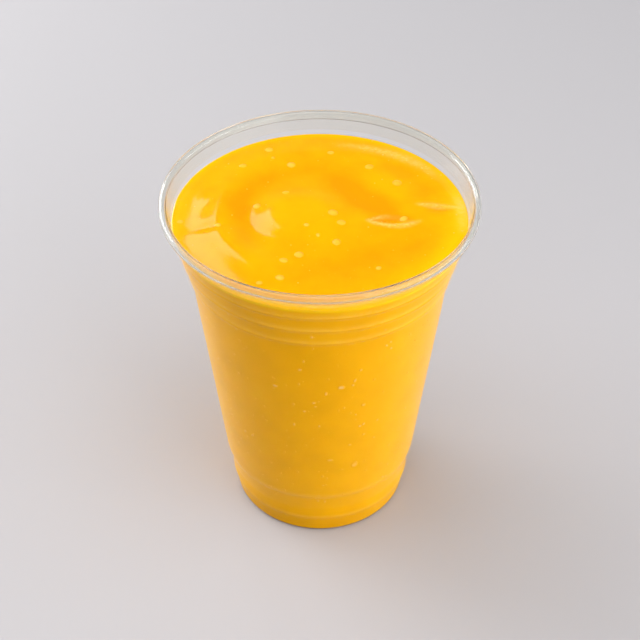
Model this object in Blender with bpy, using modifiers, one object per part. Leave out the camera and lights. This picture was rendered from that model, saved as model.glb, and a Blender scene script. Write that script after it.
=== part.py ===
"""A mango smoothie in a clear plastic cup with a rolled rim.

Metres, +Z up. The origin is the centre of the ring that the cup stands on.
The cup is a thin skin turned about Z. The smoothie fills it from the raised
floor to a folded surface a little under the rim, clear of the skin all round.
"""

import math

import bpy

MM = 0.001

# The cup as a whole.
CUP_HEIGHT = 120.5 * MM
RIM_RADIUS = 49.0 * MM
SKIN = 0.5 * MM
TURN_STEPS = 56
MERGE = 0.01 * MM

# The rolled rim, an oval tube that is open towards the wall underneath.
RIM_TUBE_WIDTH = 2.45 * MM
RIM_TUBE_HEIGHT = 3.2 * MM
RIM_TUBE_STEPS = 9
RIM_TUBE_END = math.radians(-100.0)
NECK_DROP = 3.3 * MM
NECK_INSET = 2.65 * MM

# Three stacking rings below the flare. Each is a step inwards under a small bead.
STACK_RING_COUNT = 3
STACK_RING_HEIGHT = 96.9 * MM
STACK_RING_SPACING = 6.15 * MM
STACK_RING_RADIUS = 42.0 * MM
STACK_RING_FLARE = 1.56 * MM
BEAD_PROUD = 0.15 * MM
BEAD_HALF_HEIGHT = 0.8 * MM
STACK_RING_STEP = 1.0 * MM

# The straight cone ends at a lower ring, and the foot is set in below that.
LOWER_RING_HEIGHT = 20.4 * MM
LOWER_RING_RADIUS = 32.75 * MM
LOWER_RING_STEP = 0.75 * MM
SHOULDER_HEIGHT = 13.0 * MM
SHOULDER_RADIUS = 31.05 * MM
BASE_LINE_HEIGHT = 7.8 * MM
BASE_LINE_RADIUS = 30.9 * MM
BASE_LINE_STEP = 0.7 * MM
FOOT_RADIUS = 29.6 * MM
FOOT_ROUNDING = 1.1 * MM
FOOT_ROUNDING_STEPS = 3
FOOT_INNER_RADIUS = 26.4 * MM
FLOOR_EDGE_RADIUS = 24.0 * MM
FLOOR_EDGE_HEIGHT = 3.4 * MM
FLOOR_DOME = 0.9 * MM
FLOOR_DOME_STEPS = 2

# The smoothie.
GAP = 0.3 * MM
LEVEL = 112.9 * MM
SURFACE_RINGS = 26
SURFACE_CALM_WIDTH = 5.0 * MM
SHARP_ANGLE = math.radians(40.0)

# The oval lumps and dips that pouring left. Each is its centre, half length and half width in mm,
# the turn of its length from X in degrees, its lift in mm, and how flat its top is.
DABS = (
    (-6.3, 0.3, 12.4, 12.0, 0.0, 1.0, 2.4),
    (-32.6, -6.6, 7.5, 2.0, 10.0, -0.27, 1.0),
    (-36.5, 8.8, 1.6, 3.2, -12.0, 0.22, 1.0),
    (22.4, -1.3, 4.6, 1.5, -3.0, -1.0, 1.0),
)

# Each stroke is a ridge or furrow: its lift in mm, then its path's places as x, y and
# half width in mm, and the share of the lift that it has there.
RING_FURROW = (
    -0.47,
    (
        (-17, -19, 4.2, 0),
        (-20.5, -12, 4.2, 0.6),
        (-22.3, -3, 4.2, 0.8),
        (-22.5, 5, 4.2, 0.9),
        (-20, 13, 4.2, 0.8),
        (-14, 19, 4, 0.7),
        (-7, 22, 4, 0.7),
        (0, 22.5, 5, 0.9),
        (6, 18.5, 6.5, 1.3),
        (10, 12.5, 7.5, 1.5),
        (15, 7, 7.5, 1.5),
        (20, 2.5, 6, 1.4),
        (24, -0.5, 4, 0.6),
    ),
)
LEFT_RIDGE = (
    1.15,
    (
        (-20.5, 27, 5.5, 0),
        (-25.5, 20, 5, 0.35),
        (-29, 12.3, 5, 0.76),
        (-30.4, 5, 5.2, 0.88),
        (-31.2, -3, 5.2, 0.93),
        (-29.8, -11.5, 6, 1),
        (-23.5, -20, 6.4, 1.1),
        (-16, -27.5, 6, 0.85),
        (-8, -32, 5, 0),
    ),
)
FAR_RIGHT_FURROW = (
    -0.4,
    ((20, 31, 3.5, 0), (25, 27, 3.8, 0.8), (29, 22, 4, 1), (32, 15, 4, 1), (33, 9, 3.5, 0.3)),
)
FAR_RIGHT_RIDGE = (
    0.3,
    ((15, 26, 3, 0), (18, 22, 4, 0.9), (21, 17, 4, 1), (25, 12.5, 4, 0.7), (28, 8, 3, 0)),
)
FRONT_HOLLOW = (
    -0.7,
    (
        (36, -4, 4.5, 0),
        (32.5, -10, 5, 0.6),
        (27, -15.5, 6, 0.9),
        (19, -19, 7, 1),
        (10, -24, 8, 0.9),
        (0, -27, 8, 0.8),
        (-9, -29, 6, 0.3),
        (-14, -31, 5, 0),
    ),
)
CRATER_LIP = (
    0.5,
    (
        (14.8, -2.4, 1.2, 0.2),
        (17.5, -4.3, 1.2, 0.8),
        (22, -5.4, 1.3, 1),
        (26.5, -5, 1.3, 1),
        (30.5, -3, 1.1, 0.2),
    ),
)
RIGHT_FOLD = (0.45, ((30.4, 5.6, 1.1, 0.3), (34, 5, 1.2, 1), (38, 4.2, 1.2, 1), (43, 3.6, 1.2, 0.6)))
RIGHT_SLIT = (-0.4, ((32, 3.6, 1.1, 0.2), (36, 3, 1.1, 1), (41, 2.2, 1.1, 0.5)))
STROKES = (
    RING_FURROW,
    LEFT_RIDGE,
    FAR_RIGHT_FURROW,
    FAR_RIGHT_RIDGE,
    FRONT_HOLLOW,
    CRATER_LIP,
    RIGHT_FOLD,
    RIGHT_SLIT,
)
DOT_SPACING = 0.5

# The two finishes: clear drawn sheet, and wet purée.
PLASTIC_COLOUR = (0.95, 0.96, 0.97)
PLASTIC_ROUGHNESS = 0.06
PLASTIC_IOR = 1.57
PUREE_COLOUR = (0.98, 0.5, 0.004)
PUREE_ROUGHNESS = 0.2
PUREE_IOR = 1.4


def clear_scene():
    """Removes every object that the file opens with."""
    for thing in list(bpy.data.objects):
        bpy.data.objects.remove(thing, do_unlink=True)


def make_material(name, colour, roughness, transmission, ior):
    """Returns a Principled material in the part's colour."""
    material = bpy.data.materials.new(name)
    material.use_nodes = True
    shader = material.node_tree.nodes["Principled BSDF"]
    shader.inputs["Base Color"].default_value = (*colour, 1.0)
    shader.inputs["Roughness"].default_value = roughness
    shader.inputs["Metallic"].default_value = 0.0
    shader.inputs["Transmission Weight"].default_value = transmission
    shader.inputs["IOR"].default_value = ior
    material.diffuse_color = (*colour, 1.0)
    return material


def arc(centre, radii, start, end, steps):
    """Returns the points of an elliptical arc in the plane of radius and height."""
    angles = [start + (end - start) * step / steps for step in range(steps + 1)]
    return [(centre[0] + radii[0] * math.cos(a), centre[1] + radii[1] * math.sin(a)) for a in angles]


def rim_line():
    """Returns the middle of the rolled rim's skin, from its tucked end over the top to the neck."""
    radii = ((RIM_TUBE_WIDTH - SKIN) / 2, (RIM_TUBE_HEIGHT - SKIN) / 2)
    centre = (RIM_RADIUS - RIM_TUBE_WIDTH / 2, CUP_HEIGHT - RIM_TUBE_HEIGHT / 2)
    neck = (RIM_RADIUS - NECK_INSET, CUP_HEIGHT - NECK_DROP)
    return arc(centre, radii, RIM_TUBE_END, math.pi, RIM_TUBE_STEPS) + [neck]


def stack_ring_line():
    """Returns the middle of the skin down the three stacking rings."""
    line = []
    for ring in reversed(range(STACK_RING_COUNT)):
        radius = STACK_RING_RADIUS + ring * STACK_RING_FLARE
        height = STACK_RING_HEIGHT + ring * STACK_RING_SPACING
        line.append((radius - BEAD_PROUD, height + BEAD_HALF_HEIGHT))
        line.append((radius, height))
        line.append((radius - STACK_RING_STEP, height - BEAD_HALF_HEIGHT))
    return line


def base_line():
    """Returns the middle of the skin from the lower ring round the foot to the floor's centre."""
    corner = (FOOT_RADIUS - FOOT_ROUNDING, SKIN / 2 + FOOT_ROUNDING)
    rounding = arc(corner, (FOOT_ROUNDING, FOOT_ROUNDING), 0.0, -math.pi / 2, FOOT_ROUNDING_STEPS)
    return [
        (LOWER_RING_RADIUS, LOWER_RING_HEIGHT),
        (LOWER_RING_RADIUS - LOWER_RING_STEP, LOWER_RING_HEIGHT - BEAD_HALF_HEIGHT),
        (SHOULDER_RADIUS, SHOULDER_HEIGHT),
        (BASE_LINE_RADIUS, BASE_LINE_HEIGHT),
        (BASE_LINE_RADIUS - BASE_LINE_STEP, BASE_LINE_HEIGHT - BEAD_HALF_HEIGHT),
        *rounding,
        (FOOT_INNER_RADIUS, SKIN / 2),
        *floor_dome(),
    ]


def floor_dome():
    """Returns the middle of the raised floor's skin, a shallow dome, from its edge to its centre."""
    shares = [1.0 - step / FLOOR_DOME_STEPS for step in range(FLOOR_DOME_STEPS + 1)]
    return [(FLOOR_EDGE_RADIUS * s, FLOOR_EDGE_HEIGHT + FLOOR_DOME * (1.0 - s * s)) for s in shares]


def wall_line():
    """Returns the middle of the skin from the neck down to the floor's centre."""
    return [rim_line()[-1]] + stack_ring_line() + base_line()


def turned(name, line):
    """Returns an object with this line of (radius, height) points turned about Z by a Screw."""
    mesh = bpy.data.meshes.new(name)
    points = [(radius, 0.0, height) for radius, height in line]
    mesh.from_pydata(points, [(i, i + 1) for i in range(len(points) - 1)], [])
    body = bpy.data.objects.new(name, mesh)
    screw = body.modifiers.new("Turn", "SCREW")
    screw.axis = "Z"
    screw.angle = math.tau
    screw.steps = TURN_STEPS
    screw.render_steps = TURN_STEPS
    screw.use_smooth_shade = True
    screw.use_merge_vertices = True
    screw.merge_threshold = MERGE
    return body


def make_cup(collection):
    """The cup: one skin of even thickness, from the tucked end of the rim to the raised floor."""
    body = turned("cup", rim_line()[:-1] + wall_line())
    thickness = body.modifiers.new("Skin", "SOLIDIFY")
    thickness.thickness = SKIN
    thickness.offset = 0.0
    thickness.use_even_offset = True
    thickness.use_rim = True
    plastic = make_material("clear_cup_plastic", PLASTIC_COLOUR, PLASTIC_ROUGHNESS, 1.0, PLASTIC_IOR)
    body.data.materials.append(plastic)
    collection.objects.link(body)


def inward(line, distance):
    """Returns a line that lies this distance inside a line that runs down the wall."""
    runs = [unit(start, end) for start, end in zip(line, line[1:])]
    centre_mirrored = (runs[-1][0], -runs[-1][1])
    moved = []
    for (radius, height), first, second in zip(line, runs[:1] + runs, runs + [centre_mirrored]):
        scale = distance / (1.0 + first[0] * second[0] + first[1] * second[1])
        moved.append((radius + scale * (first[1] + second[1]), height - scale * (first[0] + second[0])))
    return moved


def unit(start, end):
    """Returns the direction from one point to another."""
    length = math.dist(start, end)
    return ((end[0] - start[0]) / length, (end[1] - start[1]) / length)


def at_height(line, height):
    """Returns the radius at which a falling line crosses this height."""
    for upper, lower in zip(line, line[1:]):
        if lower[1] <= height <= upper[1]:
            share = (upper[1] - height) / (upper[1] - lower[1])
            return upper[0] + share * (lower[0] - upper[0])
    raise ValueError("the line doesn't cross this height")


def smooth(share):
    """Returns 0 to 1 with a soft start and end, for a share from 0 to 1."""
    share = min(max(share, 0.0), 1.0)
    return share * share * (3.0 - 2.0 * share)


def along_path(before, start, end, after, share):
    """Returns the values at a share of the way along a smooth path, and how fast they change there."""
    values = []
    speeds = []
    for a, b, c, d in zip(before, start, end, after):
        first = c - a
        second = 2 * a - 5 * b + 4 * c - d
        third = 3 * b - a - 3 * c + d
        values.append(b + (first * share + second * share**2 + third * share**3) / 2)
        speeds.append((first + 2 * second * share + 3 * third * share**2) / 2)
    return values, speeds


def stroke_dots(stroke):
    """Returns the soft dots that make up a stroke, as x, y, half width and lift in mm."""
    lift, path = stroke
    first = [2 * near - far for near, far in zip(path[0], path[1])]
    last = [2 * near - far for near, far in zip(path[-1], path[-2])]
    line = [first, *path, last]
    dots = []
    for before, start, end, after in zip(line, line[1:], line[2:], line[3:]):
        narrowest = min(start[2], end[2])
        count = 2 + int(math.dist(start[:2], end[:2]) / (DOT_SPACING * narrowest))
        for step in range(count):
            (x, y, half_width, share), speed = along_path(before, start, end, after, (step + 0.5) / count)
            length = math.hypot(speed[0], speed[1]) / count
            weight = max(share, 0.0) * length / (math.sqrt(math.pi) * half_width)
            dots.append((x, y, half_width, lift * weight))
    return dots


def dab_height(x, y, dab):
    """Returns how far one oval lump or dip lifts this point, all in mm."""
    centre_x, centre_y, half_length, half_width, turn, lift, flatness = dab
    turn = math.radians(turn)
    along = ((x - centre_x) * math.cos(turn) + (y - centre_y) * math.sin(turn)) / half_length
    across = ((y - centre_y) * math.cos(turn) - (x - centre_x) * math.sin(turn)) / half_width
    return lift * math.exp(-((along**2 + across**2) ** flatness))


def surface_height(x, y, edge_radius, dots):
    """Returns how far the smoothie's surface lies above its line on the wall."""
    calm = smooth((edge_radius - math.hypot(x, y)) / SURFACE_CALM_WIDTH)
    x = x / MM
    y = y / MM
    height = sum(dab_height(x, y, dab) for dab in DABS)
    for dot_x, dot_y, half_width, lift in dots:
        height += lift * math.exp(-((x - dot_x) ** 2 + (y - dot_y) ** 2) / half_width**2)
    return height * calm * MM


def make_smoothie(collection):
    """The smoothie: a turned body just inside the cup, with its surface lifted into folds."""
    side = inward(wall_line(), SKIN / 2 + GAP)
    edge_radius = at_height(side, LEVEL)
    surface = [(edge_radius * ring / SURFACE_RINGS, LEVEL) for ring in range(SURFACE_RINGS + 1)]
    plain = turned("smoothie_plain", surface + [point for point in side if point[1] < LEVEL])
    collection.objects.link(plain)
    graph = bpy.context.evaluated_depsgraph_get()
    mesh = bpy.data.meshes.new_from_object(plain.evaluated_get(graph))
    bpy.data.objects.remove(plain, do_unlink=True)
    dots = [dot for stroke in STROKES for dot in stroke_dots(stroke)]
    for vertex in mesh.vertices:
        if vertex.co.z > LEVEL - MERGE:
            vertex.co.z += surface_height(vertex.co.x, vertex.co.y, edge_radius, dots)
    mesh.materials.append(make_material("mango_puree", PUREE_COLOUR, PUREE_ROUGHNESS, 0.0, PUREE_IOR))
    mesh.shade_smooth()
    mesh.set_sharp_from_angle(angle=SHARP_ANGLE)
    collection.objects.link(bpy.data.objects.new("smoothie", mesh))


def main():
    """Builds the cup and what is in it."""
    clear_scene()
    collection = bpy.data.collections.new("mango_smoothie")
    bpy.context.scene.collection.children.link(collection)
    make_cup(collection)
    make_smoothie(collection)


main()
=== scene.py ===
"""A mango smoothie in a clear plastic cup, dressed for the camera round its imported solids."""

import logging
import math
from dataclasses import dataclass
from enum import Enum

import bpy
import numpy as np
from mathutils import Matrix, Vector


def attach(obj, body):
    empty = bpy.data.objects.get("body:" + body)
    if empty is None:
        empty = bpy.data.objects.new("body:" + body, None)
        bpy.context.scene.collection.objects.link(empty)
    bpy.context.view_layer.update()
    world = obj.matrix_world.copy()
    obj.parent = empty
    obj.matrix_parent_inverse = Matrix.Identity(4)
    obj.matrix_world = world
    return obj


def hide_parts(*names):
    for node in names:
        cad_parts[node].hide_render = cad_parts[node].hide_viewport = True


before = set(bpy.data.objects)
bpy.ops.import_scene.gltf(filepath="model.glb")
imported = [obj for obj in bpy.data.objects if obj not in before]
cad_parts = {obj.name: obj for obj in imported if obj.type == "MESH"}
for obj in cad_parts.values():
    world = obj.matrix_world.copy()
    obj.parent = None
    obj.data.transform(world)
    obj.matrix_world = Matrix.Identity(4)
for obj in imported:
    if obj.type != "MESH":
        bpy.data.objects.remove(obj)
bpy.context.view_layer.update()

LOG = logging.getLogger("mango_smoothie")
MM = 0.001
HALF = 0.5
# A corner's rounding takes less than half of each stretch beside it.
ROOM_SHARE = 0.45
# Points this near to the level lie on the surface.
TOUCHING = 0.01 * MM
# The surface's slope is taken over this distance.
SLOPE_STEP = 0.05 * MM

Tree = bpy.types.NodeTree
Node = bpy.types.Node
Socket = bpy.types.NodeSocket
Material = bpy.types.Material
Piece = bpy.types.Object
Array = np.ndarray
Point = tuple[float, float]
Triple = tuple[float, float, float]
Knot = tuple[float, float, float, float]
Colour = tuple[float, float, float, float]


def linear(hex_colour: str) -> Colour:
    """Turns an sRGB hex colour to linear light.

    Args:
        hex_colour: Six hex digits, such as "fcbe03".

    Returns:
        Red, green, blue and an alpha of 1.
    """
    shares = [int(hex_colour[i : i + 2], 16) / 255 for i in (0, 2, 4)]
    red, green, blue = (s / 12.92 if s <= 0.04045 else ((s + 0.055) / 1.055) ** 2.4 for s in shares)
    return (red, green, blue, 1.0)


def add_node(tree: Tree, kind: str, inputs: dict | None = None, **settings) -> Node:
    """Adds a node with its settings, values and links.

    Args:
        tree: The tree that takes the node.
        kind: The node's type name.
        inputs: Maps a socket's name or number to its value, or to the output that feeds it.
        **settings: Properties of the node itself.

    Returns:
        The new node.
    """
    node = tree.nodes.new(kind)
    for name, value in settings.items():
        setattr(node, name, value)
    for name, value in (inputs or {}).items():
        if isinstance(value, Socket):
            tree.links.new(value, node.inputs[name])
        else:
            node.inputs[name].default_value = value
    return node


def ramp(tree: Tree, factor: Socket, stops: list[tuple[float, Colour]]) -> Socket:
    """Adds a colour ramp.

    Args:
        tree: The material's tree.
        factor: The socket that picks a place on it.
        stops: Places from 0 to 1, each with its colour.

    Returns:
        Its colour socket.
    """
    node = add_node(tree, "ShaderNodeValToRGB", {"Fac": factor})
    elements = node.color_ramp.elements
    elements.remove(elements[1])
    elements[0].position, elements[0].color = stops[0]
    for place, colour in stops[1:]:
        elements.new(place).color = colour
    return node.outputs["Color"]


def started_material(name: str, **values) -> tuple[Material, Tree, Node]:
    """Starts a material.

    Args:
        name: Its name.
        **values: Even values for the shader, each named as its socket with underscores for spaces.

    Returns:
        The material, its tree and its shader node.
    """
    material = bpy.data.materials.new(name)
    material.use_nodes = True
    shader = material.node_tree.nodes["Principled BSDF"]
    for socket, value in values.items():
        shader.inputs[socket.replace("_", " ")].default_value = value
    return material, material.node_tree, shader


def figure(tree: Tree, operation: str, *terms: Socket | float, **settings) -> Socket:
    """Returns the result of one sum on its terms."""
    settings["operation"] = operation
    return add_node(tree, "ShaderNodeMath", dict(enumerate(terms)), **settings).outputs[0]


def noise(tree: Tree, place: Socket, size: float, detail: float = 2.0) -> Socket:
    """Returns soft noise whose swells are about this wide. Detail adds finer noise."""
    sizes = {"Vector": place, "Scale": 1 / size, "Detail": detail}
    return add_node(tree, "ShaderNodeTexNoise", sizes).outputs["Fac"]


def uneven(tree: Tree, height: Socket, depth: float, strength: float = 1.0) -> Socket:
    """Returns the normal of a skin whose height swells by this depth."""
    bump = {"Height": height, "Strength": strength, "Distance": depth}
    return add_node(tree, "ShaderNodeBump", bump).outputs[0]


def object_place(tree: Tree) -> Socket:
    """Returns the socket with the place in the piece's own metres."""
    return add_node(tree, "ShaderNodeTexCoord").outputs["Object"]


def attribute(tree: Tree, name: str) -> Socket:
    """Returns the socket with a number kept on the mesh."""
    return add_node(tree, "ShaderNodeAttribute", attribute_name=name).outputs["Fac"]


def mapped(tree: Tree, value: Socket, start: Point, end: Point, **settings) -> Socket:
    """Returns the socket with a value moved from its start range to its end range."""
    ends = {"From Min": start[0], "From Max": start[1], "To Min": end[0], "To Max": end[1]}
    return add_node(tree, "ShaderNodeMapRange", {"Value": value, **ends}, **settings).outputs[0]


def blended(tree: Tree, share: Socket, first: Socket | Colour, second: Socket | Colour) -> Socket:
    """Returns the socket with two colours mixed by a share."""
    colours = {"Factor": share, 6: first, 7: second}
    return add_node(tree, "ShaderNodeMix", colours, data_type="RGBA").outputs[2]


def added(name: str, data: bpy.types.ID) -> Piece:
    """Adds an object to the scene.

    Args:
        name: Its name.
        data: The mesh, light or camera that it carries.

    Returns:
        The new object.
    """
    piece = bpy.data.objects.new(name, data)
    bpy.context.scene.collection.objects.link(piece)
    return piece


def dress(piece: Piece, *finishes: Material) -> None:
    """Gives a piece its materials.

    Args:
        piece: The piece, which loses those that it has.
        *finishes: The materials in their order.
    """
    piece.data.materials.clear()
    for finish in finishes:
        piece.data.materials.append(finish)


def smooth(share: Array) -> Array:
    """Returns 0 to 1 with a soft start and end, for shares of any size."""
    share = np.clip(share, 0.0, 1.0)
    return share * share * (3.0 - 2.0 * share)


def unit(start: Point, end: Point) -> Point:
    """Returns the direction from one point to another."""
    length = math.dist(start, end)
    return ((end[0] - start[0]) / length, (end[1] - start[1]) / length)


def arc(centre: Point, radii: Point, start: float, end: float, steps: int) -> list[Point]:
    """Returns the points of an oval arc round a centre, between two angles in radians."""
    angles = [start + (end - start) * step / steps for step in range(steps + 1)]
    return [(centre[0] + radii[0] * math.cos(a), centre[1] + radii[1] * math.sin(a)) for a in angles]


def rounded(line: list[Point], radius: float, steps: int) -> list[Point]:
    """Rounds the corners of a line.

    Args:
        line: Its points; both ends stay as they are.
        radius: How far from a corner its rounding begins, where there is room.
        steps: Stretches in each rounding.

    Returns:
        The points of the rounded line.
    """
    made = [line[0]]
    for before, corner, after in zip(line, line[1:], line[2:]):
        reach = min(radius, ROOM_SHARE * math.dist(before, corner), ROOM_SHARE * math.dist(corner, after))
        back, on = unit(corner, before), unit(corner, after)
        for step in range(steps + 1):
            t = step / steps
            pull, push = reach * (1 - t) ** 2, reach * t**2
            made.append(tuple(corner[i] + pull * back[i] + push * on[i] for i in (0, 1)))
    return made + [line[-1]]


def divided(line: list[Point], longest: float) -> list[Point]:
    """Adds points to a line.

    Args:
        line: Its points.
        longest: The longest stretch that may stay.

    Returns:
        The points of the finer line.
    """
    made = [line[0]]
    for start, end in zip(line, line[1:]):
        count = math.ceil(math.dist(start, end) / longest)
        for n in range(1, count + 1):
            made.append(tuple(start[i] + (end[i] - start[i]) * n / count for i in (0, 1)))
    return made


def beside(line: list[Point], distance: float) -> list[Point]:
    """Moves a line sideways by the same distance all along.

    Args:
        line: Points of radius and height that run down a wall and end on the axis.
        distance: How far towards the inside. Below zero is outwards.

    Returns:
        The moved line, which also ends on the axis.
    """
    runs = [unit(start, end) for start, end in zip(line, line[1:])]
    mirrored = (runs[-1][0], -runs[-1][1])
    made = []
    for (radius, height), first, second in zip(line, runs[:1] + runs, runs + [mirrored]):
        scale = distance / (1.0 + first[0] * second[0] + first[1] * second[1])
        made.append((radius + scale * (first[1] + second[1]), height - scale * (first[0] + second[0])))
    return made


class Slot(Enum):
    """The record's material slots."""

    CLEAR = "clear_plastic"
    PUREE = "mango_puree"


@dataclass(frozen=True)
class GeometryTree:
    """A Geometry Nodes tree with named inputs, and how it is run."""

    name: str

    def started(self, sockets: dict[str, str]) -> tuple[Tree, Node, Node]:
        """Makes the empty tree.

        Args:
            sockets: Maps each further input's name to its type.

        Returns:
            The tree, its input node and its output node.
        """
        tree = bpy.data.node_groups.new(self.name, "GeometryNodeTree")
        for name, kind in {"Geometry": "NodeSocketGeometry", **sockets}.items():
            tree.interface.new_socket(name, in_out="INPUT", socket_type=kind)
        tree.interface.new_socket("Geometry", in_out="OUTPUT", socket_type="NodeSocketGeometry")
        return tree, tree.nodes.new("NodeGroupInput"), tree.nodes.new("NodeGroupOutput")

    @staticmethod
    def ended(tree: Tree, given: Node, out: Node, shape: Socket) -> None:
        """Ends the tree in smooth shading, real instances and the material.

        Args:
            tree: The tree.
            given: Its input node, which has a Material input.
            out: Its output node.
            shape: The socket with the finished geometry.
        """
        real = add_node(tree, "GeometryNodeRealizeInstances", {"Geometry": shape})
        soft = add_node(tree, "GeometryNodeSetShadeSmooth", {"Geometry": real.outputs[0]})
        finish = given.outputs["Material"]
        dressed = {"Geometry": soft.outputs[0], "Material": finish}
        painted = add_node(tree, "GeometryNodeSetMaterial", dressed)
        tree.links.new(painted.outputs[0], out.inputs[0])

    @staticmethod
    def run(tree: Tree, source: bpy.types.Mesh, name: str, values: dict) -> Piece:
        """Runs the tree on a mesh and keeps the result as a plain mesh object at the origin.

        Args:
            tree: The finished tree.
            source: The mesh that feeds it.
            name: The new piece's name.
            values: Maps each named input to its value.

        Returns:
            The new piece.
        """
        carrier = added(name + "_carrier", source)
        modifier = carrier.modifiers.new("Nodes", "NODES")
        modifier.node_group = tree
        for item in tree.interface.items_tree:
            if item.in_out == "INPUT" and item.name in values:
                modifier[item.identifier] = values[item.name]
        graph = bpy.context.evaluated_depsgraph_get()
        mesh = bpy.data.meshes.new_from_object(carrier.evaluated_get(graph))
        bpy.data.objects.remove(carrier, do_unlink=True)
        mesh.name = name
        return added(name, mesh)


@dataclass(frozen=True)
class TurnTree(GeometryTree):
    """Turns a line of points in the XZ plane about Z, as a lathe or a mould does."""

    name: str = "turned_about_z"
    weld: float = 0.001 * MM

    def build(self) -> Tree:
        """Builds the tree: a grid with the line's points across it, wrapped round the axis.

        Returns:
            The tree, with the inputs Turn Steps and Material.
        """
        tree, given, out = self.started({"Turn Steps": "NodeSocketInt", "Material": "NodeSocketMaterial"})
        line = given.outputs["Geometry"]
        count = add_node(tree, "GeometryNodeAttributeDomainSize", {"Geometry": line}).outputs["Point Count"]
        columns = figure(tree, "ADD", given.outputs["Turn Steps"], 1.0)
        sizes = {"Size X": 1.0, "Size Y": 1.0, "Vertices X": columns, "Vertices Y": count}
        grid = add_node(tree, "GeometryNodeMeshGrid", sizes)
        place = add_node(tree, "GeometryNodeInputPosition").outputs[0]
        split = add_node(tree, "ShaderNodeSeparateXYZ", {0: place})
        along = figure(tree, "ADD", split.outputs["Y"], HALF)
        index = figure(tree, "ROUND", figure(tree, "MULTIPLY", along, figure(tree, "SUBTRACT", count, 1.0)))
        row = {"Geometry": line, "Value": place, "Index": index}
        sampled = add_node(tree, "GeometryNodeSampleIndex", row, data_type="FLOAT_VECTOR", domain="POINT")
        angle = figure(tree, "MULTIPLY", figure(tree, "ADD", split.outputs["X"], HALF), math.tau)
        turn = {"Vector": sampled.outputs[0], "Angle": angle}
        turned = add_node(tree, "ShaderNodeVectorRotate", turn, rotation_type="Z_AXIS")
        moved = {"Geometry": grid.outputs["Mesh"], "Position": turned.outputs[0]}
        wrapped = add_node(tree, "GeometryNodeSetPosition", moved)
        joined = {"Geometry": wrapped.outputs[0], "Distance": self.weld}
        welded = add_node(tree, "GeometryNodeMergeByDistance", joined)
        self.ended(tree, given, out, welded.outputs[0])
        return tree

    def turn(self, name: str, line: list[Point], steps: int, material: Material) -> Piece:
        """Turns one line.

        Args:
            name: The new piece's name.
            line: Points of radius and height, round the outside from below to above.
            steps: Faces round the body.
            material: Its finish.

        Returns:
            The new piece, a closed body with its faces outwards.
        """
        source = bpy.data.meshes.new(name + "_line")
        edges = [(i, i + 1) for i in range(len(line) - 1)]
        source.from_pydata([(radius, 0.0, height) for radius, height in line], edges, [])
        return self.run(self.build(), source, name, {"Turn Steps": steps, "Material": material})


@dataclass(frozen=True)
class ClearCupPlastic:
    """PET sheet drawn over a mould: clear and glossy, with a faint milkiness.

    A sheet this thin hardly bends what is behind it, so its index is low and a coat adds to its shine.
    """

    name: str = "thermoformed_clear_pet"
    tint: str = "f7f8f4"
    ior: float = 1.16
    roughness: float = 0.13
    haze: float = 0.035
    coat: float = 0.25
    ripple_size: float = 14.0 * MM
    ripple_depth: float = 0.02 * MM

    def build(self) -> Material:
        """Builds the material: clear plastic whose drawn wall is very slightly uneven.

        Returns:
            The material.
        """
        material, tree, shader = started_material(
            self.name,
            Base_Color=linear(self.tint),
            Roughness=self.roughness,
            IOR=self.ior,
            Transmission_Weight=1.0 - self.haze,
            Coat_Weight=self.coat,
            Coat_Roughness=self.roughness,
        )
        ripple = noise(tree, object_place(tree), self.ripple_size, detail=1.0)
        tree.links.new(uneven(tree, ripple, self.ripple_depth), shader.inputs["Normal"])
        return material


@dataclass(frozen=True)
class WettedCupPlastic:
    """The same PET where purée lies against it, so that nothing bends and only its outer gloss shows.

    Towards the foot its gloss is weakened as painted shade, for the shaded floor that the foot would mirror.
    """

    name: str = "pet_wetted_by_puree"
    mirror: str = "ffffff"
    gloss_power: float = 4.2
    gloss_share: float = 0.62
    # Painted shade: the share of the gloss that is left at the foot.
    foot_painted_shade_share: float = 0.5
    full_gloss_above: float = 22.0 * MM
    roughness: float = 0.05
    ripple_size: float = 14.0 * MM
    ripple_depth: float = 0.02 * MM

    def build(self) -> Material:
        """Builds the material: a mirror as strong as the gloss at each angle, and clear for the rest.

        Returns:
            The material.
        """
        material, tree, shader = started_material(
            self.name, Base_Color=linear(self.mirror), Metallic=1.0, Roughness=self.roughness
        )
        place = object_place(tree)
        normal = uneven(tree, noise(tree, place, self.ripple_size, detail=1.0), self.ripple_depth)
        weight = add_node(tree, "ShaderNodeLayerWeight", {"Blend": HALF, "Normal": normal})
        facing = weight.outputs["Facing"]
        steep = figure(tree, "POWER", facing, self.gloss_power)
        # Painted shade: the gloss weakens from full height down to the foot, where the floor beside the cup
        # is shaded.
        rise = add_node(tree, "ShaderNodeSeparateXYZ", {0: place}).outputs["Z"]
        ends = (self.foot_painted_shade_share * self.gloss_share, self.gloss_share)
        strength = mapped(tree, rise, (0.0, self.full_gloss_above), ends)
        tree.links.new(figure(tree, "MULTIPLY", steep, strength), shader.inputs["Alpha"])
        tree.links.new(normal, shader.inputs["Normal"])
        return material


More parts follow.
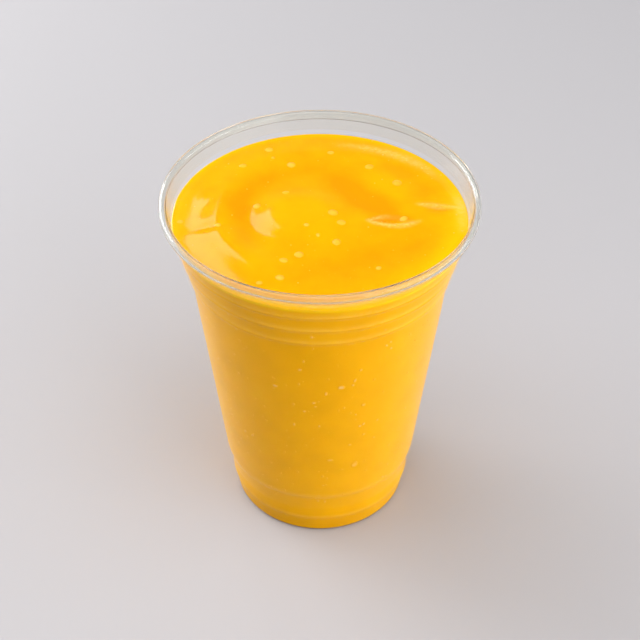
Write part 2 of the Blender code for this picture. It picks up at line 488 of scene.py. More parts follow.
@dataclass(frozen=True)
class MangoPuree:
    """Blended mango: opaque and wet, full of fine pulp and air, so deep yellow orange with a soft shine.

    The pulp and the specks of air are drawn a little coarser than they are, so that they show.
    """

    name: str = "blended_mango_puree"
    body: str = "fbae02"
    # The deep colour is painted shade and the light colour painted light; the tone picks between them and
    # the body.
    deep: str = "f79b01"
    light: str = "fdbd04"
    fleck: str = "fcc54a"
    # Pale foam, also used for the painted highlights along the side's rings.
    foam_and_ring_highlight: str = "fdd475"
    ior: float = 1.38
    gloss: float = 0.25
    roughness: float = 0.1
    scatter_share: float = 0.25
    scatter_radius: float = 1.5 * MM
    scatter_by_colour: Triple = (1.0, 0.5, 0.1)
    cloud_size: float = 9.0 * MM
    cloud_share: float = 0.35
    tone_places: Triple = (0.2, 0.5, 0.8)
    pulp_size: float = 0.9 * MM
    pulp_depth: float = 0.005 * MM
    air_spacing: float = 2.2 * MM
    speck_reach: Point = (0.05, 0.14)
    speck_share: float = 0.15
    foam_size: float = 1.1 * MM
    foam_noise: Point = (0.4, 0.62)
    thin_foam: float = 0.45

    def build(self) -> Material:
        """Builds the material from clouds of pulp, pale specks of air and the tone of each fold, which holds
        painted light and shade.

        Returns:
            The material.
        """
        material, tree, shader = started_material(
            self.name,
            Roughness=self.roughness,
            IOR=self.ior,
            Specular_IOR_Level=self.gloss,
            Subsurface_Weight=self.scatter_share,
            Subsurface_Radius=self.scatter_by_colour,
            Subsurface_Scale=self.scatter_radius,
        )
        place = object_place(tree)
        cloud = noise(tree, place, self.cloud_size, detail=3.0)
        # The tone attribute holds painted light and painted shade.
        mixed = figure(tree, "MULTIPLY_ADD", cloud, self.cloud_share, attribute(tree, "tone"))
        tones = [linear(tone) for tone in (self.deep, self.body, self.light)]
        colour = ramp(tree, mixed, list(zip(self.tone_places, tones)))
        cells = {"Vector": place, "Scale": 1 / self.air_spacing}
        air = add_node(tree, "ShaderNodeTexVoronoi", cells).outputs["Distance"]
        speck = mapped(tree, air, self.speck_reach, (self.speck_share, 0.0))
        flecked = blended(tree, speck, colour, linear(self.fleck))
        mottle = noise(tree, place, self.foam_size)
        patchy = mapped(tree, mottle, self.foam_noise, (self.thin_foam, 1.0))
        # The froth attribute is froth on the top, and painted highlight along the rings on the side.
        foam_and_ring_highlight = figure(tree, "MULTIPLY", attribute(tree, "froth"), patchy, use_clamp=True)
        tree.links.new(blended(tree, foam_and_ring_highlight, flecked, linear(self.foam_and_ring_highlight)), shader.inputs["Base Color"])
        pulp = noise(tree, place, self.pulp_size)
        tree.links.new(uneven(tree, pulp, self.pulp_depth, strength=HALF), shader.inputs["Normal"])
        return material


@dataclass(frozen=True)
class FloorPaint:
    """Matt pale board under the cup: even and slightly cool."""

    name: str = "matt_pale_board"
    colour: str = "b3b1b4"
    roughness: float = 0.7

    def build(self) -> Material:
        """Returns the material."""
        return started_material(self.name, Base_Color=linear(self.colour), Roughness=self.roughness)[0]


@dataclass
class Cup:
    """The clear cup: a thin skin with a hollow rolled rim, stacking rings, a cone and a raised floor."""

    height: float = 120.5 * MM
    rim_radius: float = 49.0 * MM
    skin: float = 0.5 * MM
    turn_steps: int = 192
    tube_width: float = 2.45 * MM
    tube_height: float = 3.2 * MM
    tube_steps: int = 26
    tube_end: float = math.radians(-100.0)
    neck_drop: float = 3.3 * MM
    neck_inset: float = 2.65 * MM
    ring_count: int = 3
    ring_height: float = 96.9 * MM
    ring_spacing: float = 6.15 * MM
    ring_radius: float = 42.0 * MM
    ring_flare: float = 1.56 * MM
    bead_proud: float = 0.15 * MM
    bead_half_height: float = 0.8 * MM
    ring_step: float = 1.0 * MM
    lower_ring: Point = (32.75 * MM, 20.4 * MM)
    lower_ring_step: float = 0.75 * MM
    shoulder: Point = (31.05 * MM, 13.0 * MM)
    base_line: Point = (30.9 * MM, 7.8 * MM)
    base_line_step: float = 0.7 * MM
    foot_radius: float = 29.6 * MM
    foot_rounding: float = 1.1 * MM
    foot_inner_radius: float = 26.4 * MM
    floor_edge: Point = (24.0 * MM, 3.4 * MM)
    floor_dome: float = 0.9 * MM
    foot_steps: int = 6
    corner_rounding: float = 0.5 * MM
    corner_steps: int = 4
    longest_stretch: float = 1.4 * MM
    wetted_below: float = 114.2 * MM
    plastic: ClearCupPlastic = ClearCupPlastic()
    wetted: WettedCupPlastic = WettedCupPlastic()

    def rim_line(self) -> list[Point]:
        """Works out the rolled rim.

        Returns:
            The middle of its skin, from its tucked end over the top to the neck.
        """
        radii = ((self.tube_width - self.skin) / 2, (self.tube_height - self.skin) / 2)
        centre = (self.rim_radius - self.tube_width / 2, self.height - self.tube_height / 2)
        roll = arc(centre, radii, self.tube_end, math.pi, self.tube_steps)
        return roll + [(self.rim_radius - self.neck_inset, self.height - self.neck_drop)]

    def ring_line(self) -> list[Point]:
        """Works out the stacking rings.

        Returns:
            The middle of the skin down them.
        """
        line = []
        for ring in reversed(range(self.ring_count)):
            radius = self.ring_radius + ring * self.ring_flare
            height = self.ring_height + ring * self.ring_spacing
            over = (radius - self.bead_proud, height + self.bead_half_height)
            under = (radius - self.ring_step, height - self.bead_half_height)
            line += [over, (radius, height), under]
        return line

    def foot_line(self) -> list[Point]:
        """Works out the foot.

        Returns:
            The middle of the skin from the lower ring round the foot to the floor's centre.
        """
        corner = (self.foot_radius - self.foot_rounding, self.skin / 2 + self.foot_rounding)
        rounding = arc(corner, (self.foot_rounding,) * 2, 0.0, -math.pi / 2, self.foot_steps)
        edge_radius, edge_height = self.floor_edge
        shares = [1.0 - step / self.foot_steps for step in range(self.foot_steps + 1)]
        dome = [(edge_radius * s, edge_height + self.floor_dome * (1.0 - s * s)) for s in shares]
        return [
            self.lower_ring,
            (self.lower_ring[0] - self.lower_ring_step, self.lower_ring[1] - self.bead_half_height),
            self.shoulder,
            self.base_line,
            (self.base_line[0] - self.base_line_step, self.base_line[1] - self.bead_half_height),
            *rounding,
            (self.foot_inner_radius, self.skin / 2),
            *dome,
        ]

    def wall_line(self) -> list[Point]:
        """Returns the middle of the skin from the neck to the floor's centre, with its corners rounded."""
        line = [self.rim_line()[-1]] + self.ring_line() + self.foot_line()
        return divided(rounded(line, self.corner_rounding, self.corner_steps), self.longest_stretch)

    def build(self) -> Piece:
        """Builds the cup as one closed skin in place of its solid.

        Returns:
            The new piece.
        """
        middle = self.rim_line()[:-1] + self.wall_line()
        line = beside(middle, -self.skin / 2)[::-1] + beside(middle, self.skin / 2)
        plastic = self.plastic.build()
        piece = TurnTree().turn("clear_cup", line, self.turn_steps, plastic)
        dress(piece, plastic, self.wetted.build())
        for face in piece.data.polygons:
            face.material_index = int(face.center.z < self.wetted_below)
        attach(piece, "root")
        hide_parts("cup")
        return piece


@dataclass(frozen=True)
class Stroke:
    """A ridge or furrow that the pour left along a path, with painted shade or painted light in its tone.

    The path's places are x, y, half width and share of the full height, the first three in millimetres.
    """

    path: tuple[Knot, ...]
    lift: float = 0.0
    # Painted shade below zero, painted light above zero.
    tone: float = 0.0
    froth: float = 0.0
    dot_spacing: float = 0.5

    def dots(self) -> list[Knot]:
        """Splits the stroke into soft dots.

        Returns:
            Each dot's x, y, half width and weight.
        """
        path = np.array(self.path)
        path = np.vstack([2 * path[0] - path[1], path, 2 * path[-1] - path[-2]])
        made = []
        for a, b, c, d in zip(path, path[1:], path[2:], path[3:]):
            # The curve through four places in a row, between the middle two.
            slope, square, cube = c - a, 2 * a - 5 * b + 4 * c - d, 3 * b - a - 3 * c + d
            count = 2 + int(math.dist(b[:2], c[:2]) / (self.dot_spacing * min(b[2], c[2])))
            for step in range(count):
                t = (step + HALF) / count
                x, y, half_width, share = b + (slope * t + square * t**2 + cube * t**3) / 2
                along = (slope + 2 * square * t + 3 * cube * t**2) / 2 / count
                length = math.hypot(along[0], along[1])
                weight = max(share, 0.0) * length / (math.sqrt(math.pi) * half_width)
                made.append((x, y, half_width, weight))
        return made

    def share(self, x: Array, y: Array) -> Array:
        """Works out where the stroke lies.

        Args:
            x: Places across, in millimetres.
            y: Places in depth.

        Returns:
            How much of the stroke each place takes.
        """
        total = np.zeros_like(x)
        for dot_x, dot_y, half_width, weight in self.dots():
            total += weight * np.exp(-((x - dot_x) ** 2 + (y - dot_y) ** 2) / half_width**2)
        return total


@dataclass(frozen=True)
class Dab:
    """An oval lump or dip in the surface. Its places and sizes are in millimetres, its turn in degrees."""

    x: float
    y: float
    half_length: float
    half_width: float
    turn: float
    lift: float = 0.0
    # Painted shade below zero, painted light above zero.
    tone: float = 0.0
    froth: float = 0.0
    flatness: float = 1.0

    def share(self, x: Array, y: Array) -> Array:
        """Works out where the dab lies.

        Args:
            x: Places across, in millimetres.
            y: Places in depth.

        Returns:
            How much of the dab each place takes.
        """
        cosine, sine = math.cos(math.radians(self.turn)), math.sin(math.radians(self.turn))
        along = ((x - self.x) * cosine + (y - self.y) * sine) / self.half_length
        across = ((y - self.y) * cosine - (x - self.x) * sine) / self.half_width
        return np.exp(-((along**2 + across**2) ** self.flatness))


# Tones below zero are painted shade in the furrows, hollows, slit and crater; tones above zero are painted
# light on the dome, ridges and the margins by the wall.
CENTRAL_DOME = Dab(-6.3, 0.3, 12.4, 12.0, 0.0, lift=1.0, tone=0.07, flatness=2.4)
RIDGE_BREAK = Dab(-32.6, -6.6, 7.5, 2.0, 10.0, lift=-0.27)
RIDGE_NOTCH = Dab(-36.5, 8.8, 1.6, 3.2, -12.0, lift=0.22)
CRATER = Dab(22.4, -1.3, 4.6, 1.5, -3.0, lift=-1.0, tone=-0.6)
RING_FURROW = Stroke(
    ((-17, -19, 4.2, 0), (-20.5, -12, 4.2, 0.6), (-22.3, -3, 4.2, 0.8), (-22.5, 5, 4.2, 0.9),
     (-20, 13, 4.2, 0.8), (-14, 19, 4, 0.7), (-7, 22, 4, 0.7), (0, 22.5, 5, 0.9),
     (6, 18.5, 6.5, 1.3), (10, 12.5, 7.5, 1.5), (15, 7, 7.5, 1.5), (20, 2.5, 6, 1.4),
     (24, -0.5, 4, 0.6)),
    lift=-0.47,
)
RING_SHADE = Stroke(
    ((-20, -20, 3.5, 0), (-23, -12, 4, 0.75), (-24.5, -2, 4.2, 1), (-25, 6, 4.2, 1),
     (-22.5, 14, 4, 0.9), (-16, 20, 3.5, 0.6), (-8, 24, 3.5, 0.5), (0, 24, 5, 0.6),
     (6, 19, 6.5, 0.7), (10, 12.5, 7.5, 0.75), (15, 7, 7.5, 0.75), (20, 2.5, 6, 0.7),
     (24, -0.5, 4, 0.3)),
    tone=-0.25,
)
VALLEY_SHADE = Stroke(
    ((2, 22, 4, 0), (6, 18, 5, 0.5), (10, 12.5, 5.5, 0.9), (15, 7, 5, 1.2), (20, 3, 4, 1.2),
     (24, 0, 3, 0.4)),
    tone=-0.17,
)
LEFT_RIDGE = Stroke(
    ((-20.5, 27, 5.5, 0), (-25.5, 20, 5, 0.35), (-29, 12.3, 5, 0.76), (-30.4, 5, 5.2, 0.88),
     (-31.2, -3, 5.2, 0.93), (-29.8, -11.5, 6, 1), (-23.5, -20, 6.4, 1.1), (-16, -27.5, 6, 0.85),
     (-8, -32, 5, 0)),
    lift=1.15,
    tone=0.02,
)
FAR_RIGHT_FURROW = Stroke(
    ((20, 31, 3.5, 0), (25, 27, 3.8, 0.8), (29, 22, 4, 1), (32, 15, 4, 1), (33, 9, 3.5, 0.3)),
    lift=-0.4,
    tone=-0.12,
)
FAR_RIGHT_RIDGE = Stroke(
    ((15, 26, 3, 0), (18, 22, 4, 0.9), (21, 17, 4, 1), (25, 12.5, 4, 0.7), (28, 8, 3, 0)),
    lift=0.3,
    tone=0.1,
)
FRONT_HOLLOW = Stroke(
    ((36, -4, 4.5, 0), (32.5, -10, 5, 0.6), (27, -15.5, 6, 0.9), (19, -19, 7, 1), (10, -24, 8, 0.9),
     (0, -27, 8, 0.8), (-9, -29, 6, 0.3), (-14, -31, 5, 0)),
    lift=-0.7,
    tone=-0.2,
)
RIGHT_MARGIN = Stroke(
    ((42, 13, 4, 0.3), (44.5, 6, 4, 1), (45, -2, 4.5, 1), (43.5, -11, 5, 1), (39, -21, 5, 0.9),
     (31, -31, 5, 0.75), (20, -39, 5, 0.5), (8, -43, 4, 0.1)),
    tone=0.42,
)
FRONT_MARGIN = Stroke(
    ((-40, -20, 2, 0), (-34, -29, 2, 1), (-23, -38.5, 2, 1), (-8, -44, 2, 1), (8, -44, 2, 1),
     (23, -38.5, 2, 1), (34, -29, 2, 0)),
    tone=0.5,
)
LEFT_MARGIN = Stroke(
    ((-33, 28, 5, 0.3), (-38, 21, 5, 0.6), (-42, 11, 5, 0.7), (-44, 0, 5, 1), (-42, -12, 5, 0.8),
     (-36, -22, 4, 0.2)),
    tone=0.16,
)
CRATER_LIP = Stroke(
    ((14.8, -2.4, 1.2, 0.2), (17.5, -4.3, 1.2, 0.8), (22, -5.4, 1.3, 1), (26.5, -5, 1.3, 1),
     (30.5, -3, 1.1, 0.2)),
    lift=0.5,
)
CRATER_LIP_LINE = Stroke(
    ((14.3, -2.2, 0.7, 0.3), (17.3, -4.2, 0.7, 1), (22, -5.5, 0.75, 1), (26.5, -5.1, 0.75, 1),
     (31, -2.6, 0.6, 0.3)),
    froth=0.75,
)
CRATER_FAR_EDGE = Stroke(
    ((14.8, -2.4, 0.7, 0.8), (17, -0.9, 0.7, 1), (19.5, 0.2, 0.7, 0.6), (22, 0.6, 0.7, 0)), froth=0.6
)
RIGHT_FOLD = Stroke(
    ((30.4, 5.6, 1.1, 0.3), (34, 5, 1.2, 1), (38, 4.2, 1.2, 1), (43, 3.6, 1.2, 0.6)), lift=0.45
)
RIGHT_FOLD_LINE = Stroke(
    ((29.5, 5.9, 0.5, 0.4), (33, 5.2, 0.8, 1), (37, 4.3, 0.9, 1), (40.5, 3.9, 0.6, 0.8),
     (44, 3.6, 0.5, 0.5)),
    froth=0.6,
)
RIGHT_SLIT = Stroke(((32, 3.6, 1.1, 0.2), (36, 3, 1.1, 1), (41, 2.2, 1.1, 0.5)), lift=-0.4, tone=-0.2)
FAR_FROTH = Stroke(
    ((4, 39.3, 1.2, 0), (9, 38.3, 1.2, 0.5), (16, 36.8, 1.4, 0.9), (22, 34.3, 1.6, 1),
     (27, 31.2, 1.6, 1), (31.5, 27.6, 1.5, 0.8), (35, 23.5, 1.3, 0.5), (37, 19, 1.1, 0)),
    froth=0.5,
)
RIGHT_FROTH = Stroke(
    ((42.5, 10, 1.6, 0.2), (43.8, 4, 2, 1), (44, -2, 1.8, 0.8), (43, -9, 1.5, 0.2)), froth=0.4
)
POURED_FEATURES = (
    CENTRAL_DOME, RIDGE_BREAK, RIDGE_NOTCH, CRATER, RING_FURROW, RING_SHADE, VALLEY_SHADE, LEFT_RIDGE,
    FAR_RIGHT_FURROW, FAR_RIGHT_RIDGE, FRONT_HOLLOW, RIGHT_MARGIN, FRONT_MARGIN, LEFT_MARGIN,
    CRATER_LIP, CRATER_LIP_LINE, CRATER_FAR_EDGE, RIGHT_FOLD, RIGHT_FOLD_LINE, RIGHT_SLIT, FAR_FROTH,
    RIGHT_FROTH,
)


@dataclass
class Smoothie:
    """The smoothie: it fills the cup to a swirled surface, and reaches just into the wall."""

    cup: Cup
    level: float = 112.9 * MM
    into_wall: float = 0.12 * MM
    turn_steps: int = 256
    surface_rings: int = 120
    calm_width: float = 5.0 * MM
    features: tuple[Stroke | Dab, ...] = POURED_FEATURES
    plain_tone: float = 0.29
    # Painted shade on the side towards the foot, and painted light above the highest ring.
    foot_height: float = 14.0 * MM
    foot_painted_shade: float = -0.3
    top_painted_light: float = 0.12
    # Painted light on the surface near the wall, and how far it reaches.
    wall_edge_painted_light: float = 0.32
    edge_width: float = 3.5 * MM
    # Painted highlights along the rings and lines, drawn in the foam colour, with painted light in their
    # tone.
    ring_painted_highlight: float = 0.23
    ring_painted_light: float = 0.05
    ring_highlight_height: float = 2.2 * MM
    ring_highlight_depth: float = 1.2 * MM
    line_highlight_height: float = 1.3 * MM
    puree: MangoPuree = MangoPuree()
    pressed: MangoPuree = MangoPuree("mango_puree_against_the_wall", "f6b006", "e2a008", "fbc40a", gloss=0.0)

    def side_line(self) -> list[Point]:
        """Works out the smoothie's side.

        Returns:
            Its points from the level down the wall and in to the middle of the floor.
        """
        side = beside(self.cup.wall_line(), self.cup.skin / 2 - self.into_wall)
        top = next(i for i, point in enumerate(side) if point[1] < self.level)
        (r0, z0), (r1, z1) = side[top - 1], side[top]
        edge = (r0 + (r1 - r0) * (z0 - self.level) / (z0 - z1), self.level)
        return [edge] + side[top:]

    def edge_radius(self) -> float:
        """Returns where the surface meets the wall."""
        return self.side_line()[0][0]

    def from_wall(self, x: Array, y: Array) -> Array:
        """Returns how far each place on the surface lies from the wall."""
        return self.edge_radius() - np.hypot(x, y)

    def relief(self, x: Array, y: Array) -> Array:
        """Returns how far the folds left by pouring lift each place."""
        height = sum(f.lift * MM * f.share(x / MM, y / MM) for f in self.features if f.lift)
        return height * smooth(self.from_wall(x, y) / self.calm_width)

    def tone(self, x: Array, y: Array) -> Array:
        """Works out the surface's tone.

        Args:
            x: Places across.
            y: Places in depth.

        Returns:
            Each place's tone, with painted shade in the furrows and painted light on the ridges and by the
            wall.
        """
        wall_painted_light = self.wall_edge_painted_light * smooth(1.0 - self.from_wall(x, y) / self.edge_width)
        # Painted shade in the furrows and crater, painted light on the dome and ridges.
        folds = sum(f.tone * f.share(x / MM, y / MM) for f in self.features if f.tone)
        return self.plain_tone + wall_painted_light + folds

    def froth(self, x: Array, y: Array) -> Array:
        """Returns how frothy each place is, from 0 to about 1."""
        return sum(f.froth * f.share(x / MM, y / MM) for f in self.features if f.froth)

    def side_shading_tone(self, height: Array) -> Array:
        """Works out the side's tone.

        Args:
            height: Places on the side.

        Returns:
            Each place's tone, with painted light above the highest ring and on the rings, and painted shade
            at the foot.
        """
        highest_ring = self.cup.ring_height + (self.cup.ring_count - 1) * self.cup.ring_spacing
        above = smooth((height - highest_ring) / (self.level - highest_ring))
        foot = smooth(1.0 - height / self.foot_height)
        rings = self.ring_painted_light * self.ring_share(height)
        return self.plain_tone + self.foot_painted_shade * foot + self.top_painted_light * above + rings

    def ring_share(self, height: Array) -> Array:
        """Works out where the rings catch the light.

        Args:
            height: Places on the side.

        Returns:
            How near each place lies to a ring or line.
        """
        cup = self.cup
        rings = [(cup.ring_height + i * cup.ring_spacing, self.ring_highlight_height) for i in range(cup.ring_count)]
        rings += [(line[1], self.line_highlight_height) for line in (cup.lower_ring, cup.base_line)]
        total = np.zeros_like(height)
        for place, ring_highlight_height in rings:
            above = height - place
            fading = smooth(1.0 - above / ring_highlight_height)
            total += smooth((above + self.ring_highlight_depth) / self.ring_highlight_depth) * fading
        return total

    def build(self) -> Piece:
        """Builds the smoothie in place of its solid.

        Returns:
            The new piece.
        """
        shares = [ring / self.surface_rings for ring in range(self.surface_rings)]
        surface = [(self.edge_radius() * share, self.level) for share in shares]
        line = self.side_line()[::-1] + surface[::-1]
        wet = self.puree.build()
        piece = TurnTree().turn("mango_smoothie", line, self.turn_steps, wet)
        mesh = piece.data
        dress(piece, wet, self.pressed.build())
        points = np.array([vertex.co for vertex in mesh.vertices])
        top = points[:, 2] > self.level - TOUCHING
        for face in mesh.polygons:
            face.material_index = int(not top[list(face.vertices)].all())
        tones = self.side_shading_tone(points[:, 2])
        # On the side the froth attribute is painted highlight along the rings.
        froth_and_ring_highlight = self.ring_painted_highlight * self.ring_share(points[:, 2])
        x, y = points[top, :2].T
        points[top, 2] += self.relief(x, y)
        mesh.vertices.foreach_set("co", points.astype(np.float32).ravel())
        tones[top] = self.tone(x, y)
        froth_and_ring_highlight[top] = self.froth(x, y)
        for name, values in (("tone", tones), ("froth", froth_and_ring_highlight)):
            kept = mesh.attributes.new(name, "FLOAT", "POINT")
            kept.data.foreach_set("value", values.astype(np.float32))
        mesh.update()
        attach(piece, "root")
        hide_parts("smoothie")
        return piece


@dataclass(frozen=True)
class BubbleTree(GeometryTree):
    """Sets a small ball on each point, with its own three radii, turned to face outwards."""

    name: str = "bubbles_on_points"
    segments: int = 12
    rings: int = 6

    def build(self) -> Tree:
        """Builds the tree, which reads each point's outward direction and size.

        Returns:
            The tree, with the input Material.
        """
        tree, given, out = self.started({"Material": "NodeSocketMaterial"})
        sizes = {"Segments": self.segments, "Rings": self.rings, "Radius": 1.0}
        plain = add_node(tree, "GeometryNodeMeshUVSphere", sizes)
        place = add_node(tree, "GeometryNodeInputPosition").outputs[0]
        rise = add_node(tree, "ShaderNodeSeparateXYZ", {0: place}).outputs["Z"]
        cap = {"Geometry": plain.outputs["Mesh"], "Name": "cap", "Value": rise}
        ball = add_node(tree, "GeometryNodeStoreNamedAttribute", cap, data_type="FLOAT", domain="POINT")
        kind = "GeometryNodeInputNamedAttribute"
        outward, size = (
            add_node(tree, kind, {"Name": name}, data_type="FLOAT_VECTOR").outputs["Attribute"]
            for name in ("outward", "size")
        )
        turned = add_node(tree, "FunctionNodeAlignRotationToVector", {"Vector": outward}, axis="Z")
        spread = {"Points": given.outputs["Geometry"], "Instance": ball.outputs[0]}
        spread |= {"Rotation": turned.outputs[0], "Scale": size}
        placed = add_node(tree, "GeometryNodeInstanceOnPoints", spread)
        self.ended(tree, given, out, placed.outputs[0])
        return tree

    def place(self, name: str, points: Array, outward: Array, sizes: Array, material: Material) -> Piece:
        """Sets a ball on each point.

        Args:
            name: The new piece's name.
            points: Where the balls' centres lie.
            outward: The direction that each ball faces.
            sizes: Each ball's radii, the last along its outward direction.
            material: Their finish.

        Returns:
            The new piece.
        """
        source = bpy.data.meshes.new(name + "_points")
        source.from_pydata(points.tolist(), [], [])
        for kind, values in (("outward", outward), ("size", sizes)):
            made = source.attributes.new(kind, "FLOAT_VECTOR", "POINT")
            made.data.foreach_set("vector", values.astype(np.float32).ravel())
        piece = self.run(self.build(), source, name, {"Material": material})
        dress(piece, material)
        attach(piece, "root")
        return piece


@dataclass(frozen=True)
class PureeBubble:
    """Air held under a thin skin of purée: paler and a little milkier than it, with a wet shine."""

    name: str
    pale: str
    warm: str
    edge: str
    gloss: float
    roughness: float = 0.3
    tint_size: float = 6.0 * MM
    tint_places: Point = (0.35, 0.65)
    cap_reach: Point = (0.3, 1.0)

    def build(self) -> Material:
        """Builds the material: its tint wanders from bubble to bubble and fades at each one's edge.

        Returns:
            The material.
        """
        material, tree, shader = started_material(
            self.name, Roughness=self.roughness, Specular_IOR_Level=self.gloss
        )
        cloud = noise(tree, object_place(tree), self.tint_size)
        tints = [linear(tint) for tint in (self.warm, self.pale)]
        colour = ramp(tree, cloud, list(zip(self.tint_places, tints)))
        cap = attribute(tree, "cap")
        share = mapped(tree, cap, self.cap_reach, (0.0, 1.0), interpolation_type="SMOOTHSTEP")
        tree.links.new(blended(tree, share, linear(self.edge), colour), shader.inputs["Base Color"])
        return material


@dataclass
class SurfaceBubbles:
    """The bubbles on the smoothie's surface: the plain ones one by one, and froth along its streaks.

    Each plain one is its x, y and radius in millimetres.
    """

    smoothie: Smoothie
    plain_ones: tuple[Triple, ...] = (
        (-16.6, 35.9, 1.4), (-9.2, 27.3, 1.57), (-24.7, 26.6, 1.23), (-15.2, 31.2, 0.75),
        (-10.7, 11.4, 1.14), (-19.5, 4.7, 1.48), (15.9, 26.0, 1.57), (24.4, 17.0, 1.74),
        (3.5, 34.2, 1.14), (4.0, 0.5, 1.74), (6.5, -4.0, 1.48), (25.7, -1.0, 1.4), (-4.1, -6.2, 0.91),
        (-0.6, -10.5, 0.75), (5.0, -13.4, 1.57), (-6.2, -19.5, 1.57), (-10.7, -22.5, 1.4),
        (-11.6, -30.8, 1.4), (17.2, -25.5, 0.99), (-17.5, -33.2, 0.99), (-42.6, -3.4, 0.99),
        (-30.9, -6.2, 1.08),
    )
    flatness: float = 0.3
    sink: float = 0.35
    scattered: int = 110
    scattered_radius: Point = (0.12, 0.32)
    froth_bubbles: int = 170
    froth_radius: Point = (0.15, 0.45)
    tries_each: int = 60
    stretch: Point = (0.9, 1.15)
    seed: int = 11
    finish: PureeBubble = PureeBubble("air_bubble_under_puree", "fcc040", "fcb92c", "fbb203", 0.25)

    def drawn(self, count: int, radii: Point, froth_only: bool, source: np.random.Generator) -> Array:
        """Draws places at random on the surface.

        Args:
            count: How many.
            radii: The smallest and largest radius, in millimetres.
            froth_only: Whether they keep to the froth.
            source: The random numbers' source.

        Returns:
            Rows of x, y and radius in millimetres.
        """
        edge = self.smoothie.edge_radius() / MM - radii[1]
        tries = count * self.tries_each
        x, y = source.uniform(-edge, edge, (2, tries))
        kept = np.hypot(x, y) < edge
        if froth_only:
            kept &= source.random(tries) < self.smoothie.froth(x * MM, y * MM)
        radius = radii[0] + (radii[1] - radii[0]) * source.random(tries) ** 2
        return np.stack([x, y, radius], axis=1)[kept][:count]

    def build(self) -> Piece:
        """Builds all of them as one piece.

        Returns:
            The new piece.
        """
        source = np.random.default_rng(self.seed)
        tiny = self.drawn(self.scattered, self.scattered_radius, False, source)
        froth = self.drawn(self.froth_bubbles, self.froth_radius, True, source)
        x, y, radius = np.vstack([self.plain_ones, tiny, froth]).T * MM
        relief = self.smoothie.relief
        height = relief(x, y)
        slope_x = (relief(x + SLOPE_STEP, y) - height) / SLOPE_STEP
        slope_y = (relief(x, y + SLOPE_STEP) - height) / SLOPE_STEP
        sunk = self.sink * self.flatness * radius
        points = np.stack([x, y, self.smoothie.level + height - sunk], axis=1)
        outward = np.stack([-slope_x, -slope_y, np.ones_like(x)], axis=1)
        stretch = source.uniform(*self.stretch, len(x))
        sizes = np.stack([radius * stretch, radius / stretch, radius * self.flatness], axis=1)
        return BubbleTree().place("surface_bubbles", points, outward, sizes, self.finish.build())


@dataclass
class WallFlecks:
    """The pale flecks of air and fibre pressed against the wall, just under its outer face.

    Each plain one is its angle in degrees, its height and its radius in millimetres.
    """

    smoothie: Smoothie
    plain_ones: tuple[Triple, ...] = (
        (-80.4, 76.3, 1.05), (-74.2, 78.6, 0.7), (-87.3, 73.9, 0.7), (-92.9, 69.5, 0.56),
        (-102.7, 58.2, 0.56), (-68.9, 66.0, 0.77), (-67.9, 56.4, 0.56), (-67.3, 51.1, 0.49),
        (-84.8, 40.6, 0.84), (-71.0, 36.3, 1.33), (-63.4, 31.1, 0.49), (-97.4, 65.2, 0.49),
        (-98.8, 84.5, 0.56), (-64.8, 76.8, 0.56), (-71.8, 82.9, 0.56), (-97.7, 96.5, 0.56),
        (-93.3, 100.1, 0.56), (-60.5, 90.7, 0.49),
    )
    scattered: int = 560
    scattered_radius: Point = (0.2, 0.55)
    lowest: float = 16.0
    highest: float = 104.0
    proud: float = 0.1 * MM
    stretch: Point = (0.7, 1.4)
    seed: int = 5
    finish: PureeBubble = PureeBubble("fleck_of_air_and_fibre", "f9c568", "f6b633", "f4ac06", 0.0)

    def build(self) -> Piece:
        """Builds all of them as one piece.

        Returns:
            The new piece.
        """
        source = np.random.default_rng(self.seed)
        small, large = self.scattered_radius
        spots = list(self.plain_ones)
        for _ in range(self.scattered):
            height = source.uniform(self.lowest, self.highest)
            angle = source.uniform(-180, 180)
            spots.append((angle, height, small + (large - small) * source.random() ** 2))
        angle, height, radius = np.array(spots).T
        angle, height, radius = np.radians(angle), height * MM, radius * MM
        line = np.array(self.smoothie.side_line())[::-1]
        line = line[line[:, 1] > self.lowest * MM / 2]
        wall = np.interp(height, line[:, 1], line[:, 0])
        tilt = (np.interp(height + MM, line[:, 1], line[:, 0]) - wall) / MM
        points = np.stack([wall * np.cos(angle), wall * np.sin(angle), height], axis=1)
        outward = np.stack([np.cos(angle), np.sin(angle), -tilt], axis=1)
        stretch = source.uniform(*self.stretch, len(angle))
        sizes = np.stack([radius * stretch, radius / stretch, np.full_like(radius, self.proud)], axis=1)
        return BubbleTree().place("wall_flecks", points, outward, sizes, self.finish.build())


@dataclass(frozen=True)
class SoftLight:
    """A soft rectangular light, placed by the direction that it shines from.

    Azimuth 0 is beyond the cup as the camera sees it, and 90 is to the right.
    """

    name: str
    azimuth: float
    elevation: float
    distance: float
    width: float
    height: float
    power: float

    def build(self, target: Vector) -> None:
        """Makes the light.

        Args:
            target: What it is aimed at.
        """
        lamp = bpy.data.lights.new(self.name, "AREA")
        lamp.shape, lamp.size, lamp.size_y = "RECTANGLE", self.width, self.height
        lamp.energy = self.power
        piece = added(self.name, lamp)
        azimuth, elevation = math.radians(self.azimuth), math.radians(self.elevation)
        level = math.cos(elevation)
        away = Vector((math.sin(azimuth) * level, math.cos(azimuth) * level, math.sin(elevation)))
        piece.location = target + away * self.distance
        piece.rotation_euler = away.to_track_quat("Z", "Y").to_euler()


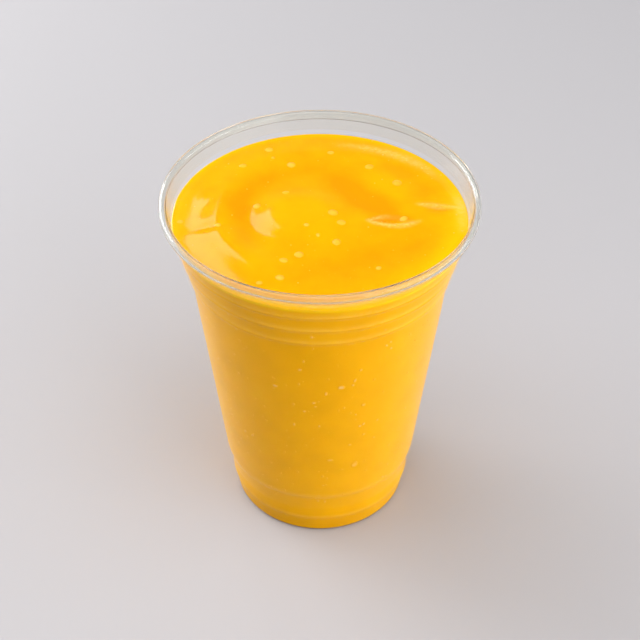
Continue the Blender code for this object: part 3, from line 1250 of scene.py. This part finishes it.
@dataclass
class Studio:
    """The floor, the soft lights and the camera at the photograph's angle."""

    focal_px: float = 1350.0
    picture_px: float = 640.0
    sensor: float = 36.0
    camera_distance: float = 442.04 * MM
    camera_pitch: float = 40.83
    clip: Point = (0.01, 20.0)
    target_height: float = 70.38 * MM
    floor_side: float = 6.0
    world_colour: str = "ffffff"
    world_low: float = 0.22
    world_high: float = 0.1
    world_turns_at: Point = (0.25, 0.5)
    lights: tuple[SoftLight, ...] = (
        SoftLight("high_front", 180, 62, 1.5, 1.4, 1.4, 9.7),
        SoftLight("high_left", -80, 45, 1.5, 1.4, 1.2, 11.0),
        SoftLight("low_back_left", -52, 10, 1.2, 0.9, 0.4, 14.2),
        SoftLight("low_right", 90, 8, 1.3, 1.0, 0.4, 7.4),
        SoftLight("low_front_right", 130, 10, 1.4, 1.2, 0.5, 6.4),
        SoftLight("front_right", 130, 25, 1.5, 1.2, 0.8, 4.6),
        SoftLight("high_front_right", 140, 60, 1.5, 1.4, 1.4, 4.4),
        SoftLight("high_right", 75, 40, 1.5, 1.2, 1.2, 0.7),
        SoftLight("overhead", 0, 88, 1.5, 1.2, 1.2, 4.8),
        SoftLight("window", -18, 41, 1.2, 0.2, 0.32, 0.86),
    )

    def build(self) -> None:
        """Makes the floor, the lights, the world and the camera."""
        scene = bpy.context.scene
        scene.view_settings.view_transform = "Standard"
        floor_mesh = bpy.data.meshes.new("floor")
        half = self.floor_side / 2
        corners = [(-half, -half, 0.0), (half, -half, 0.0), (half, half, 0.0), (-half, half, 0.0)]
        floor_mesh.from_pydata(corners, [], [(0, 1, 2, 3)])
        floor_mesh.materials.append(FloorPaint().build())
        added("floor", floor_mesh)
        target = Vector((0.0, 0.0, self.target_height))
        for light in self.lights:
            light.build(target)
        world = bpy.data.worlds.new("studio_air")
        world.use_nodes = True
        tree = world.node_tree
        background = tree.nodes["Background"]
        background.inputs["Color"].default_value = linear(self.world_colour)
        direction = add_node(tree, "ShaderNodeTexCoord").outputs["Generated"]
        upward = add_node(tree, "ShaderNodeSeparateXYZ", {0: direction}).outputs["Z"]
        strength = mapped(tree, upward, self.world_turns_at, (self.world_low, self.world_high))
        tree.links.new(strength, background.inputs["Strength"])
        scene.world = world
        self.place_camera(target)

    def place_camera(self, target: Vector) -> None:
        """Makes the camera, which looks along +Y and down at the cup.

        Args:
            target: The point at the middle of the picture.
        """
        lens = bpy.data.cameras.new("photo_camera")
        lens.sensor_width = self.sensor
        lens.lens = self.sensor * self.focal_px / self.picture_px
        lens.clip_start, lens.clip_end = self.clip
        camera = added("photo_camera", lens)
        pitch = math.radians(self.camera_pitch)
        away = Vector((0.0, -math.cos(pitch), math.sin(pitch)))
        camera.location = target + away * self.camera_distance
        camera.rotation_euler = (math.pi / 2 - pitch, 0.0, 0.0)
        bpy.context.scene.camera = camera


def main() -> None:
    """Builds the cup, the smoothie, its bubbles and flecks, and the studio, and reports each piece."""
    logging.basicConfig(level=logging.INFO, format="%(message)s")
    cup = Cup()
    smoothie = Smoothie(cup)
    for part in (cup, smoothie, SurfaceBubbles(smoothie), WallFlecks(smoothie)):
        piece = part.build()
        LOG.info("%s: %d faces", piece.name, len(piece.data.polygons))
    Studio().build()


if __name__ == "__main__":
    main()
